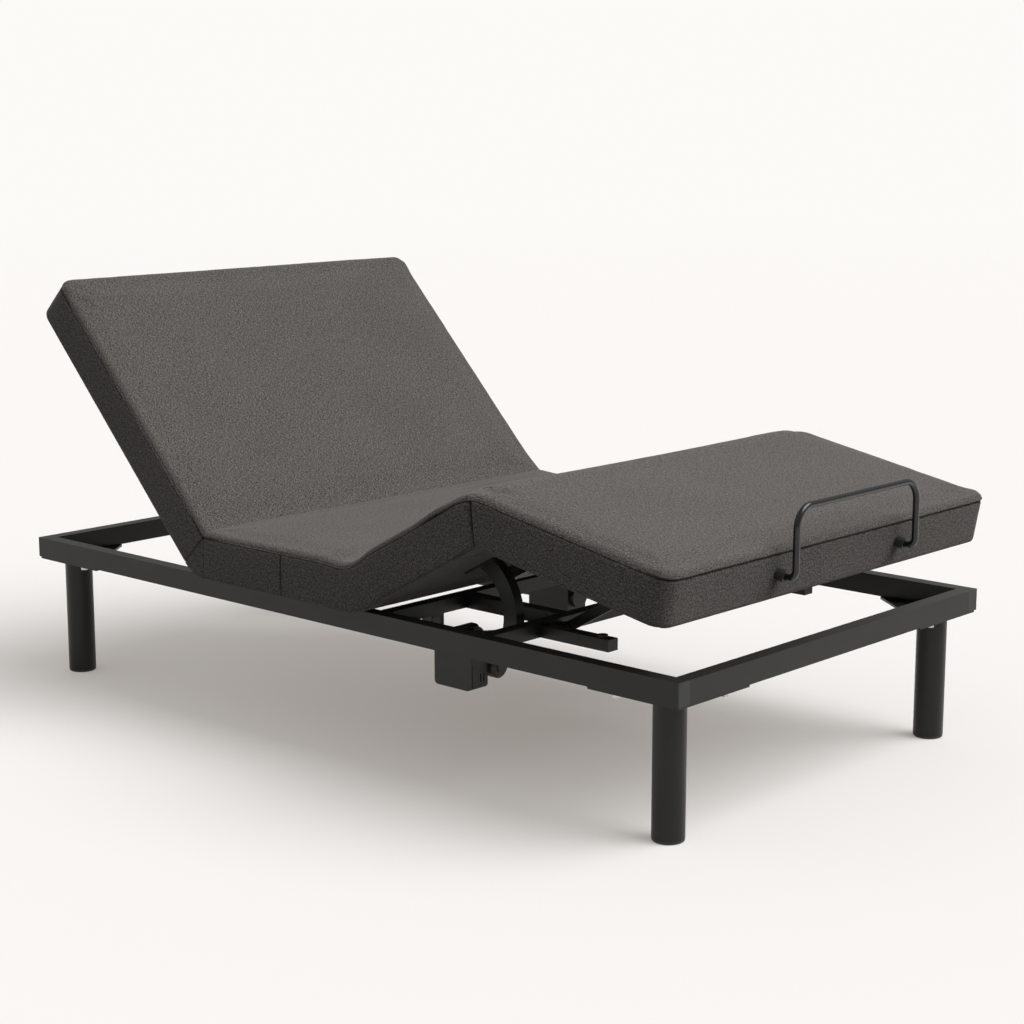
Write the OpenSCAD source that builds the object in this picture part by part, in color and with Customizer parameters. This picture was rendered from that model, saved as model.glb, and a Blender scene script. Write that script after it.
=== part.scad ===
// Adjustable bed base: a steel frame on four legs that carries a four-section upholstered deck.
// The head section and the thigh section are raised by two electric spindle drives, and the foot
// section hangs from the knee on two links. X runs from head to foot, Z is up, and the origin is on
// the floor under the middle of the bounding box. Sections are drawn flat about their own pivot and
// then turned to the stored pose, with the head up and the knees up.

/* [Frame] */
// Length of the steel frame
frame_l = 1850; // [1700:10:2050]
// Width of the steel frame
frame_w = 982; // [860:2:1200]
// Height of a frame rail
rail_h = 44; // [36:1:60]
// Width of a frame rail
rail_w = 30; // [25:1:40]
// Wall of every steel tube
tube_wall = 2; // [1.5:0.25:3]
// Size of the square cross tubes and arms
tube_w = 28; // [24:1:32]
// Thickness of the plastic cap on a rail end
cap_t = 3; // [2:0.5:5]

/* [Legs] */
// Height from the floor to the underside of the rails
rail_z = 267; // [220:1:320]
// Diameter of a leg
leg_d = 61; // [50:1:70]
// Leg centre in from the frame's end
leg_inset_x = 66; // [55:1:90]
// Leg centre in from the frame's side
leg_inset_y = 60; // [50:1:80]
// Thickness of a corner plate
plate_t = 5; // [4:0.5:8]
// Length of the sloping gusset edge of a corner plate along each rail
gusset_l = 205; // [150:5:260]
// Diameter of the leg's threaded stud
stud_d = 10; // [8:1:12]

/* [Deck] */
// Width of the upholstered deck
deck_w = 1044; // [880:2:1220]
// Thickness of board and foam together
deck_t = 104; // [85:1:130]
// Thickness of a section board
board_t = 14; // [10:1:18]
// Length of the head section
head_l = 690; // [600:5:760]
// Length from the head crease to the seat bend
seat_l = 440; // [400:5:500]
// Part of the seat length that lies on the head side of the cover seam
seat_cover_l = 242; // [200:1:300]
// Length of the thigh section from the seat bend to the knee
thigh_l = 356; // [330:1:420]
// Length of the foot section from the knee
foot_l = 443; // [400:1:520]
// Radius of the deck's corners in plan
deck_r = 34; // [30:1:70]
// Distance from the frame's middle to the head crease
crease_x = -300; // [-320:5:-270]

/* [Stored pose] */
// Angle of the head section above level
head_rest = 46.5; // [30:0.5:55]
// Angle of the thigh section above level
thigh_rest = 28.5; // [20:0.5:32]
// Angle of the foot section below level
foot_rest = 10.75; // [5:0.25:15]
// Further lift of the head section above the stored pose
head_max = 13.5; // [5:0.5:15]
// Further lift of the thigh section above the stored pose
thigh_max = 6.5; // [2:0.5:8]

/* [Pivots] */
// Depth of the head pivot below the deck's top
head_pivot_down = 17; // [12:1:25]
// Height of the seat pivot above the deck's underside
seat_pivot_up = 45; // [40:1:55]
// Height of the knee pivot above the deck's underside
knee_pivot_up = 5; // [4:1:8]
// Diameter of the hinge pins and the link pins
pin_d = 12; // [10:1:14]
// Thickness of the hinge ears
ear_t = 5; // [4:0.5:6]
// Distance of the hinges in from the deck's side
hinge_inset = 86; // [70:1:120]

/* [Head drive] */
// Depth of the push line below the deck's underside
head_push_down = 73; // [66:1:80]
// Distance of the drive from the deck's middle
head_drive_y = 125; // [100:5:160]
// Diameter of the push rods
rod_d = 20; // [16:1:22]
// Outer diameter of the spindle tubes
spindle_d = 36; // [32:1:40]

/* [Leg drive] */
// Distance of the drive and the thigh lever from the deck's middle
leg_drive_y = 330; // [320:1:345]
// Radius of the curved thigh lever
lever_r = 112; // [105:1:120]
// Depth of the curved thigh lever in its own plane
lever_w = 34; // [28:1:38]
// Thickness of the curved thigh lever
lever_t = 24; // [18:1:28]
// Clearance all round the pin in the thigh lever's eye
lever_float = 5.5; // [5:0.5:7]

/* [Foot links] */
// Distance of the links from the deck's middle
link_y = 272; // [262:1:280]
// Distance of the foot cross tube from the seat bend
cross_foot_at = 311; // [305:1:320]
// Distance of the link bracket from the knee
link_foot_l = 240; // [225:1:255]
// Depth of the link pins below the deck's underside
link_down = 17; // [16:0.5:19]
// Clearance all round the upper pin in the link's eye
link_float = 3.5; // [3:0.5:4]

/* [Mattress retainer bar] */
// Diameter of the bar
bar_d = 13; // [10:0.5:16]
// Distance between the uprights
bar_w = 394; // [300:2:500]
// Height of the feet above the deck's underside
bar_foot_up = 51; // [40:1:60]
// Reach of the uprights past the deck's end
bar_reach = 40; // [32:1:55]
// Rise of the bar above its feet
bar_rise = 133; // [100:1:170]
// Radius of the two top bends
bar_r = 40; // [25:1:50]
// Radius of the two foot bends
bar_foot_r = 16; // [12:1:20]

/* [Clearances] */
// Radial clearance of a pin or rod in its bore
fit = 0.05; // [0.02:0.01:0.1]
// Half of the gap between neighbouring sections
half_gap = 0.8; // [0.5:0.1:2]
// Height of the moving sections above the rails when flat
rest_gap = 1; // [0.5:0.25:3]
// Free space round hardware that moves inside the foam
pocket = 3; // [2:0.5:6]

/* [Hidden] */
$fn = 48;

steel = [0.09, 0.09, 0.09];
plastic = [0.05, 0.05, 0.055];
fabric = [0.22, 0.215, 0.21];
board_black = [0.11, 0.108, 0.105];
zinc = [0.62, 0.63, 0.65];

// Heights
deck_z = rail_z + rail_h;
board_top = deck_z + board_t;
deck_top = deck_z + deck_t;

hinge_y = deck_w / 2 - hinge_inset;

// Pivot of each moving section, as [x, z], measured from the frame's middle
h_pivot = [crease_x, deck_top - head_pivot_down];
s_pivot = [crease_x + seat_l, deck_z + seat_pivot_up];
knee_local = [thigh_l, knee_pivot_up - seat_pivot_up];
function turn(p, a) = [p[0] * cos(a) - p[1] * sin(a), p[0] * sin(a) + p[1] * cos(a)];
k_pivot = s_pivot + turn(knee_local, thigh_rest);
bar_foot_z = bar_foot_up - knee_pivot_up;
bar_x = k_pivot[0] + turn([foot_l + bar_reach, bar_foot_z], -foot_rest)[0];

// The bounding box runs from the frame's head end to the retainer bar's uprights
x0 = -(bar_x + bar_d / 2 - frame_l / 2) / 2;

// Cross tubes, as distances of their middles from the frame's middle
cross_head_x = -170;
cross_mid_x = 178;
cross_foot_x = s_pivot[0] + cross_foot_at;
cross_z = deck_z - tube_w;
stretcher_y = 235;
support_y = 316;
support_l = 165;
buffer_t = 5;
inner_w = frame_w - 2 * rail_w;

// Foot links
link_down_z = deck_z - link_down;
link_stand = 16;
link_boss = 11;
link_pin_d = 10;
link_base = [cross_foot_x + tube_w / 2 + link_stand, link_down_z];
link_foot_local = [link_foot_l, -knee_pivot_up - link_down];
link_foot = k_pivot + turn(link_foot_local, -foot_rest);
link_v = link_foot - link_base;
link_l = norm(link_v);
link_a = atan2(link_v[1], link_v[0]);
link_t = 8;
link_gap = link_t + 2;
link_h = 26;
cheek_t = 5;

// Leg drive: clevis on the middle cross tube, pin in the eye of the thigh lever
lever_c = [105, -110];
lever_a0 = -45;
lever_a1 = 36;
lever_eye = lever_c + lever_r * [cos(lever_a0), sin(lever_a0)];
leg_rear = [cross_mid_x, cross_z - 51];
leg_front = s_pivot + turn(lever_eye, thigh_rest);
leg_v = leg_front - leg_rear;
leg_l = norm(leg_v);
leg_a = atan2(leg_v[1], leg_v[0]);
lever_foot_t = 5;
leg_case_x = 28;
leg_case_l = 98;
leg_case_w = 50;
leg_case_h = 108;
leg_case_low = -82;
leg_case_r = 9;
leg_gear_l = 30;
leg_motor_d = 46;
leg_motor_y = leg_case_w / 2 + leg_motor_d / 2 + 2;
leg_motor_z = -44;
leg_motor_past = 8;
leg_shell_t = 5;
groove_w = 1.6;
case_vent_w = 3;
case_vent_h = 18;
leg_tube_end = 128;
leg_rod_in = 102;
leg_fork_l = 30;
fork_back_t = 4;

// Head drive: fixed under the cross tubes, its cross pin in the slot of the head lever
head_push = h_pivot[1] - deck_z + head_push_down;
head_lever_rest = 16.5;
head_pin_lead = 2.2;
head_pin_x = h_pivot[0] - head_push * tan(head_lever_rest) - head_pin_lead;
head_push_z = deck_z - head_push_down;
head_tube_x0 = -128;
head_tube_x1 = 52;
head_case = [112, 58, 60];
head_boss_d = 46;
head_boss_l = 10;
head_motor_d = 56;
head_motor_l = 105;
head_fork_l = 18;
head_rod_in = 46;
head_slot_w = pin_d + 6;
head_lever_gap = 24;
head_lever_t = 6;

// Small shared sizes
ear_boss = 13;
ear_reach = 92;
flange_w = 24;
flange_t = 4;
board_inset = 9;
ear_gap = 1;

// Turns its children from the flat drawing to the stored pose of one section
module in_head() {
  translate([x0 + h_pivot[0], 0, h_pivot[1]]) rotate([0, head_rest, 0]) children();
}
module in_thigh() {
  translate([x0 + s_pivot[0], 0, s_pivot[1]]) rotate([0, -thigh_rest, 0]) children();
}
module in_foot() {
  translate([x0 + k_pivot[0], 0, k_pivot[1]]) rotate([0, foot_rest, 0]) children();
}
module in_leg_drive() {
  translate([x0 + leg_rear[0], -leg_drive_y, leg_rear[1]]) rotate([0, -leg_a, 0]) children();
}

// Both sides of the deck
module both_sides() {
  children();
  mirror([0, 1, 0]) children();
}
// All four corners of the frame, from the one at the foot end and +Y
module four_corners() {
  for (sx = [0, 1], sy = [0, 1])
    translate([x0, 0, 0]) mirror([sx, 0, 0]) mirror([0, sy, 0]) children();
}
// Rectangular tube along X that starts at the origin, centred on Y and Z
module tube_x(l, w, h) {
  difference() {
    translate([0, -w / 2, -h / 2]) cube([l, w, h]);
    translate([-1, -w / 2 + tube_wall, -h / 2 + tube_wall])
      cube([l + 2, w - 2 * tube_wall, h - 2 * tube_wall]);
  }
}
// Rectangular tube along Y, centred on all three axes
module tube_y(l, w, h) {
  rotate([0, 0, 90]) translate([-l / 2, 0, 0]) tube_x(l, w, h);
}
// Round bar along Y, centred
module bar_y(l, d) {
  rotate([90, 0, 0]) cylinder(d = d, h = l, center = true);
}
// Extrudes an outline drawn as [x, z] along Y from y to y + t
module plate_y(y, t) {
  translate([0, y + t, 0]) rotate([90, 0, 0]) linear_extrude(t) children();
}
// The same [x, z] outline as two plates of thickness t with a gap between them, centred on y
module both_cheeks(y, gap, t) {
  for (from = [-gap / 2 - t, gap / 2]) plate_y(y + from, t) children();
}
// Hexagon bolt head with its washer, standing down from the origin
module bolt_head(d) {
  translate([0, 0, -1.5]) cylinder(d = 2.2 * d, h = 1.5);
  translate([0, 0, -1.5 - 0.65 * d]) cylinder(d = 1.9 * d, h = 0.65 * d, $fn = 6);
}

// Frame --------------------------------------------------------------------------------------
module side_rail(side) {
  translate([x0 - frame_l / 2 + cap_t, side * (frame_w - rail_w) / 2, rail_z + rail_h / 2])
    tube_x(frame_l - 2 * cap_t, rail_w, rail_h);
}
module end_rail(side) {
  translate([x0 + side * (frame_l - rail_w) / 2, 0, rail_z + rail_h / 2])
    tube_y(inner_w, rail_w, rail_h);
}
module rail_near() {
  color(steel) side_rail(-1);
}
module rail_far() {
  color(steel) side_rail(1);
}
module rail_head() {
  color(steel) end_rail(-1);
}
module rail_foot() {
  color(steel) end_rail(1);
}
module rail_end_caps() {
  plug_l = 18;
  plug_gap = 0.2;
  color(plastic) four_corners()
    translate([frame_l / 2 - cap_t, (frame_w - rail_w) / 2, rail_z + rail_h / 2]) {
      translate([0, -rail_w / 2, -rail_h / 2]) cube([cap_t, rail_w, rail_h]);
      plug_w = rail_w - 2 * tube_wall - 2 * plug_gap;
      plug_h = rail_h - 2 * tube_wall - 2 * plug_gap;
      translate([-plug_l, -plug_w / 2, -plug_h / 2]) cube([plug_l, plug_w, plug_h]);
    }
}
module corner_plates() {
  margin = 3;
  color(steel) four_corners()
    translate([frame_l / 2 - margin, frame_w / 2 - margin, rail_z - plate_t])
      difference() {
        linear_extrude(plate_t)
          polygon([[0, 0], [-gusset_l, 0], [-gusset_l, -rail_w], [-rail_w - 75, -rail_w - 75],
                   [-rail_w, -gusset_l], [0, -gusset_l]]);
        translate([margin - leg_inset_x, margin - leg_inset_y, -1])
          cylinder(r = stud_d / 2 + fit, h = plate_t + 2);
      }
}
module frame_bolts() {
  bolt_d = 8;
  color(zinc) four_corners() {
    translate([frame_l / 2 - 150, (frame_w - rail_w) / 2, rail_z - plate_t]) bolt_head(bolt_d);
    translate([(frame_l - rail_w) / 2, frame_w / 2 - 150, rail_z - plate_t]) bolt_head(bolt_d);
  }
}
// Legs ---------------------------------------------------------------------------------------
glide_t = 6;
leg_wall = 2;
leg_head_t = 8;
module leg(sx, sy) {
  top = rail_z - plate_t;
  translate([x0 + sx * (frame_l / 2 - leg_inset_x), sy * (frame_w / 2 - leg_inset_y), 0])
    difference() {
      translate([0, 0, glide_t]) cylinder(d = leg_d, h = top - glide_t, $fn = 96);
      translate([0, 0, glide_t - 1])
        cylinder(d = leg_d - 2 * leg_wall, h = top - glide_t - leg_head_t + 1, $fn = 96);
      translate([0, 0, top - leg_head_t - 1]) cylinder(r = stud_d / 2 + fit, h = leg_head_t + 2);
    }
}
module leg_head_near() {
  color(steel) leg(-1, -1);
}
module leg_head_far() {
  color(steel) leg(-1, 1);
}
module leg_foot_near() {
  color(steel) leg(1, -1);
}
module leg_foot_far() {
  color(steel) leg(1, 1);
}
module leg_glides() {
  plug_l = 14;
  color(plastic) four_corners()
    translate([frame_l / 2 - leg_inset_x, frame_w / 2 - leg_inset_y, 0])
      rotate_extrude($fn = 96)
        polygon([[0, 0], [leg_d / 2 - 3, 0], [leg_d / 2 - 0.5, 2], [leg_d / 2 - 0.5, glide_t],
                 [leg_d / 2 - leg_wall - 0.2, glide_t], [leg_d / 2 - leg_wall - 0.2, glide_t + plug_l],
                 [0, glide_t + plug_l]]);
}
module leg_studs() {
  nut_t = 6;
  color(zinc) four_corners()
    translate([frame_l / 2 - leg_inset_x, frame_w / 2 - leg_inset_y, 0]) {
      translate([0, 0, rail_z - plate_t - 24]) cylinder(d = stud_d, h = plate_t + 24 + nut_t + 2);
      translate([0, 0, rail_z]) cylinder(d = 1.8 * stud_d, h = nut_t, $fn = 6);
    }
}
// Cross tubes and arms inside the frame ------------------------------------------------------
module cross_tube(x) {
  translate([x0 + x, 0, cross_z + tube_w / 2]) tube_y(inner_w, tube_w, tube_w);
}
module cross_tube_head() {
  color(steel) cross_tube(cross_head_x);
}
module cross_tube_mid() {
  color(steel) cross_tube(cross_mid_x);
}
module cross_tube_foot() {
  color(steel) cross_tube(cross_foot_x);
}
module frame_stretchers() {
  from = cross_mid_x + tube_w / 2;
  to = cross_foot_x - tube_w / 2;
  color(steel) both_sides()
    translate([x0 + from, stretcher_y, cross_z + tube_w / 2]) tube_x(to - from, tube_w, tube_w);
}
module support_arms() {
  from = cross_foot_x + tube_w / 2;
  color(steel) both_sides() translate([x0 + from, support_y, cross_z + tube_w / 2 - buffer_t / 2]) {
    tube_x(support_l, tube_w, tube_w - buffer_t);
    translate([support_l, -tube_w / 2, -(tube_w - buffer_t) / 2])
      cube([cap_t, tube_w, tube_w - buffer_t]);
  }
}
module support_buffers() {
  buffer_x = cross_foot_x + tube_w / 2 + support_l - 22;
  color(plastic) both_sides()
    translate([x0 + buffer_x, support_y, deck_z - buffer_t]) cylinder(d = 20, h = buffer_t);
}
// Bearing ears -------------------------------------------------------------------------------
// Plate with a bored boss at the origin that points along X and stands on a board whose top is at
// z = floor_z; its flange turns out to the side given by flange
module ear(floor_z, bore_r, flange) {
  difference() {
    union() {
      plate_y(0, ear_t) {
        circle(r = ear_boss);
        polygon([[0, ear_boss], [ear_reach * 0.3, max(ear_boss, floor_z + 28)],
                 [ear_reach, floor_z + 28], [ear_reach, floor_z], [ear_boss + 2, floor_z],
                 [0, -ear_boss]]);
      }
      translate([ear_boss + 6, flange > 0 ? ear_t : -flange_w, floor_z])
        cube([ear_reach - ear_boss - 6, flange_w, flange_t]);
    }
    bar_y(4 * ear_t, 2 * bore_r);
  }
}
// Two ears of one hinge on both sides of the deck: dir is 1 for the one that points to the foot
module ear_pair(dir, floor_z, outer) {
  y = outer ? hinge_y + ear_t + ear_gap : hinge_y;
  both_sides() translate([0, y, 0]) mirror([dir > 0 ? 0 : 1, 0, 0])
    ear(floor_z, pin_d / 2 + (outer ? fit : 0), outer ? 1 : -1);
}
// Hinge pin with its two heads, held in the inner ear
module hinge_pins() {
  head_t = 3;
  both_sides() translate([0, hinge_y + ear_t + ear_gap / 2, 0]) {
    bar_y(2 * ear_t + ear_gap + 2, pin_d);
    for (s = [-1, 1]) translate([0, s * (ear_t + ear_gap / 2 + 1 + head_t / 2), 0])
      bar_y(head_t, pin_d + 6);
  }
}
// Free space for one hinge, cut out of foam and boards; low and high bound it in Z
module hinge_room(low, high) {
  both_sides() translate([-ear_reach - pocket, hinge_y - flange_w - pocket, low])
    cube([2 * (ear_reach + pocket), 2 * ear_t + ear_gap + 2 * flange_w + 2 * pocket, high - low]);
}
// Deck boards and foam -----------------------------------------------------------------------
// Outline in plan of a section from x = a to x = b, with round corners at the end named by round
module plan(a, b, w, r, round_end) {
  if (round_end == 0) translate([a, -w / 2]) square([b - a, w]);
  else mirror([round_end < 0 ? 1 : 0, 0]) {
    end = round_end < 0 ? -a : b;
    start = round_end < 0 ? -b : a;
    translate([start, -w / 2]) square([end - r - start, w]);
    translate([end - r - 1, -w / 2 + r]) square([r + 1, w - 2 * r]);
    for (s = [-1, 1]) translate([end - r, s * (w / 2 - r)]) circle(r = r);
  }
}
module board(a, b, z, round_end) {
  translate([0, 0, z]) linear_extrude(board_t)
    plan(round_end < 0 ? a + board_inset : a, round_end > 0 ? b - board_inset : b,
         deck_w - 2 * board_inset, deck_r - board_inset, round_end);
}
// Foam block whose ends are cut along the lines given as [low x, pivot x, high x] at each end
module foam(left, right, z_low, z_pivot_left, z_pivot_right, z_high, round_end) {
  intersection() {
    plate_y(-deck_w / 2, deck_w)
      polygon([[left[0], z_low], [left[1], z_pivot_left], [left[2], z_high],
               [right[2], z_high], [right[1], z_pivot_right], [right[0], z_low]]);
    translate([0, 0, z_low - 1]) linear_extrude(z_high - z_low + 2)
      plan(min(left), max(right), deck_w, deck_r, round_end);
  }
}
knee_ratio = (thigh_rest + foot_rest) / thigh_rest;
head_full = head_rest + head_max;
thigh_full = thigh_rest + thigh_max;
knee_full = thigh_full * knee_ratio;
head_top_gap = half_gap + head_pivot_down * tan(head_full / 2);
seat_top_gap = half_gap + (deck_t - seat_pivot_up) * tan(thigh_full / 2);
knee_low_gap = half_gap + knee_pivot_up * tan(knee_full / 2);

module seat_board() {
  color(board_black) translate([x0, 0, 0]) difference() {
    board(h_pivot[0] + half_gap, s_pivot[0] - half_gap, deck_z, 0);
    translate([s_pivot[0], 0, 0]) hinge_room_low(deck_z - 1);
  }
}
// Clearance in a board for the bosses of a hinge that lies close above it
module hinge_room_low(z) {
  r = ear_boss + pocket;
  both_sides() translate([-r, hinge_y - pocket - 4, z])
    cube([2 * r, 2 * ear_t + ear_gap + 2 * pocket + 8, board_t + 2]);
}
module pad_seat() {
  z = [board_top, h_pivot[1], deck_top];
  seam_x = h_pivot[0] + seat_cover_l;
  color(fabric) translate([x0, 0, 0]) difference() {
    foam([h_pivot[0] + half_gap, h_pivot[0] + half_gap, h_pivot[0] + head_top_gap],
         [seam_x, seam_x, seam_x], z[0], z[1], z[1], z[2], 0);
    translate([h_pivot[0], 0, 0]) hinge_room(board_top - 1, h_pivot[1] + ear_boss + 1);
  }
}
module pad_lap() {
  z = [board_top, s_pivot[1], deck_top];
  seam_x = h_pivot[0] + seat_cover_l;
  color(fabric) translate([x0, 0, 0]) difference() {
    foam([seam_x, seam_x, seam_x],
         [s_pivot[0] - half_gap, s_pivot[0] - half_gap, s_pivot[0] - seat_top_gap],
         z[0], z[1], z[1], z[2], 0);
    translate([s_pivot[0], 0, 0]) hinge_room(board_top - 1, s_pivot[1] + ear_boss + pocket);
  }
}
module head_hinge_plates() {
  floor_z = board_top - h_pivot[1];
  color(steel) translate([x0 + h_pivot[0], 0, h_pivot[1]]) {
    ear_pair(1, floor_z, false);
    hinge_pins();
  }
}
module seat_hinge_plates() {
  floor_z = board_top - s_pivot[1];
  color(steel) translate([x0 + s_pivot[0], 0, s_pivot[1]]) {
    ear_pair(-1, floor_z, false);
    hinge_pins();
  }
}
// Control box --------------------------------------------------------------------------------
box_size = [150, 96, 44];
box_y = 330;
box_x = 250;
box_z = cross_z - 62;
box_wall = 2.5;
lid_t = 3;
lid_lip = 4;
lid_fit = 0.3;
vent_w = 14;
vent_pitch = 22;
module control_box() {
  color(plastic) translate([x0 + box_x, box_y, box_z]) difference() {
    translate([-box_size[0] / 2, -box_size[1] / 2, 0]) cube(box_size);
    translate([-box_size[0] / 2 + box_wall, -box_size[1] / 2 + box_wall, box_wall])
      cube([box_size[0] - 2 * box_wall, box_size[1] - 2 * box_wall, box_size[2]]);
    for (k = [-2:2]) translate([k * vent_pitch - vent_w / 2, -box_size[1] / 2 - 1, 16])
      cube([vent_w, box_wall + 2, 12]);
  }
}
module control_box_lid() {
  lip = [box_size[0] - 2 * (box_wall + lid_fit), box_size[1] - 2 * (box_wall + lid_fit)];
  color(plastic) translate([x0 + box_x, box_y, box_z + box_size[2]]) {
    translate([-box_size[0] / 2, -box_size[1] / 2, 0]) cube([box_size[0], box_size[1], lid_t]);
    translate([-lip[0] / 2, -lip[1] / 2, -lid_lip]) cube([lip[0], lip[1], lid_lip]);
  }
}
module control_box_hanger() {
  low = box_z + box_size[2] + lid_t;
  strap = [24, 40, 3];
  color(steel) translate([x0 + cross_mid_x - strap[0] / 2, box_y - strap[1] / 2, low]) {
    cube([strap[0], strap[1], cross_z - low]);
    cube([box_x - cross_mid_x + 60, strap[1], strap[2]]);
  }
}
// Head drive ---------------------------------------------------------------------------------
module head_drive_hanger() {
  strap_l = 30;
  hanger_w = 52;
  under = 6;
  beam_h = tube_w - 2 * rest_gap - under;
  color(steel) translate([x0, head_drive_y, 0]) difference() {
    union() {
      for (x = [cross_head_x + 46, head_tube_x1 - 22])
        translate([x - strap_l / 2, -hanger_w / 2, head_push_z - under])
          cube([strap_l, hanger_w, cross_z + beam_h + rest_gap - head_push_z + under]);
      translate([cross_head_x + tube_w / 2, -hanger_w / 2, cross_z])
        cube([cross_mid_x - cross_head_x - tube_w, hanger_w, beam_h]);
    }
    translate([cross_head_x, 0, head_push_z]) rotate([0, 90, 0])
      cylinder(r = spindle_d / 2, h = cross_mid_x - cross_head_x, $fn = 64);
  }
}
module head_drive_housing() {
  color(plastic) translate([x0 + head_tube_x1, head_drive_y, head_push_z]) difference() {
    union() {
      translate([0, -head_case[1] / 2, -head_case[2] / 2]) cube(head_case);
      translate([head_case[0], 0, 0]) rotate([0, 90, 0]) cylinder(d = head_boss_d, h = head_boss_l);
    }
    translate([-1, 0, 0]) rotate([0, 90, 0]) cylinder(r = rod_d / 2 + 1, h = 40);
  }
}
module head_drive_motor() {
  motor_x = head_case[0] - head_motor_d / 2 - 22;
  color(plastic)
    translate([x0 + head_tube_x1 + motor_x, head_drive_y + head_case[1] / 2, head_push_z])
      rotate([-90, 0, 0]) {
        cylinder(d = head_motor_d, h = head_motor_l, $fn = 64);
        translate([0, 0, head_motor_l]) cylinder(d = head_motor_d - 16, h = 6);
      }
}
module head_drive_tube() {
  color(steel) translate([x0 + head_tube_x0, head_drive_y, head_push_z]) rotate([0, 90, 0])
    difference() {
      cylinder(d = spindle_d, h = head_tube_x1 - head_tube_x0, $fn = 64);
      translate([0, 0, -1]) cylinder(r = rod_d / 2 + fit, h = 13);
      translate([0, 0, 11]) cylinder(r = spindle_d / 2 - tube_wall, h = head_tube_x1 - head_tube_x0);
    }
}
module head_drive_rod() {
  color(zinc) translate([x0 + head_pin_x + head_fork_l, head_drive_y, head_push_z])
    rotate([0, 90, 0])
      cylinder(d = rod_d, h = head_tube_x0 + head_rod_in - head_pin_x - head_fork_l);
}
module head_drive_fork() {
  block_w = head_lever_gap - 3;
  reach = head_lever_gap / 2 + head_lever_t + 1;
  head_t = 3;
  color(zinc) translate([x0 + head_pin_x, head_drive_y, head_push_z]) {
    bar_y(2 * reach, pin_d);
    for (s = [-1, 1]) translate([0, s * (reach + head_t / 2), 0]) bar_y(head_t, pin_d + 6);
    difference() {
      translate([-14, -block_w / 2, -11]) cube([14 + head_fork_l, block_w, 22]);
      bar_y(4 * block_w, pin_d);
    }
  }
}
// Head section -------------------------------------------------------------------------------
head_low = deck_z + rest_gap - h_pivot[1];
head_high = deck_top - h_pivot[1];
sub_w = 30;
sub_h = 25;
module head_board() {
  color(board_black) in_head() board(-head_l, -half_gap, head_low, -1);
}
head_long_l = head_l - 160;
head_long_y = 250;
head_cross_x = [-70, -150, -40 - head_long_l / 2, -10 - head_long_l];
module head_subframe() {
  color(steel) in_head() {
    both_sides() translate([-40 - head_long_l, head_long_y, head_low - sub_h / 2])
      tube_x(head_long_l, sub_w, sub_h);
    for (x = head_cross_x) translate([x, 0, head_low - sub_h / 2])
      tube_y(2 * head_long_y - sub_w, sub_w, sub_h);
  }
}
module head_hinge_arms() {
  color(steel) in_head() ear_pair(-1, head_low + board_t, true);
}
// Slotted plate pair that the drive's cross pin pushes; the slot lies on a ray through the pivot
module head_lever() {
  swing = head_rest - head_lever_rest;
  full = head_push / cos(swing);
  tip = full + 20;
  ray = [sin(swing), -cos(swing)];
  side = [cos(swing), sin(swing)];
  top = head_low - sub_h;
  neck = -top / cos(swing) - 2;
  color(steel) in_head() both_cheeks(head_drive_y, head_lever_gap, head_lever_t) difference() {
    polygon([[head_cross_x[1] - sub_w / 2, top], [head_cross_x[0] + sub_w / 2, top],
             ray * neck + side * 12, ray * (neck + 10) + side * 20, ray * tip + side * 20,
             ray * (tip + 4) + side * 10, ray * (tip + 4) - side * 10, ray * tip - side * 20,
             [-90, top - 24], [head_cross_x[1] - sub_w / 2, top - 8]]);
    slot(ray * (head_push - 5), ray * (full + 4), head_slot_w);
  }
}
// Round-ended slot between two points
module slot(a, b, w) {
  v = b - a;
  translate(a) circle(d = w);
  translate(b) circle(d = w);
  translate(a) rotate(atan2(v[1], v[0])) translate([0, -w / 2]) square([norm(v), w]);
}
module head_bolts() {
  color(zinc) in_head() both_sides()
    for (k = [0:3]) translate([-70 - k * (head_long_l - 60) / 3, head_long_y, head_low - sub_h])
      bolt_head(6);
}
module pad_head() {
  low = head_low + board_t;
  color(fabric) in_head() difference() {
    foam([-head_l, -head_l, -head_l], [-half_gap, -half_gap, -head_top_gap],
         low, 0, 0, head_high, -1);
    hinge_room(low - 1, ear_boss + 1);
  }
}
// Thigh section ------------------------------------------------------------------------------
thigh_low = deck_z + rest_gap - s_pivot[1];
thigh_high = deck_top - s_pivot[1];
thigh_end = knee_local[0];
module thigh_board() {
  color(board_black) in_thigh() difference() {
    board(half_gap, thigh_end - knee_low_gap, thigh_low, 0);
    translate([thigh_end, 0, 0]) hinge_room_low(thigh_low - 1);
    hinge_room_low(thigh_low - 1);
  }
}
module thigh_subframe() {
  clear = 16;
  long_y = 170;
  from = cross_mid_x + tube_w / 2 - s_pivot[0] + clear;
  to = cross_foot_x - tube_w / 2 - s_pivot[0] - clear;
  color(steel) in_thigh() {
    both_sides() translate([from, long_y, thigh_low - sub_h / 2]) tube_x(to - from, sub_w, sub_h);
    for (x = [from + sub_w, to - sub_w]) translate([x, 0, thigh_low - sub_h / 2])
      tube_y(2 * long_y - sub_w, sub_w, sub_h);
    lever_top = lever_c[0] + lever_r * cos(lever_a1);
    translate([lever_top - 45, -leg_drive_y - 30, thigh_low - lever_foot_t])
      cube([80, 60, lever_foot_t]);
  }
}
module thigh_hinge_arms() {
  color(steel) in_thigh() ear_pair(1, thigh_low + board_t, true);
}
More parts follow.
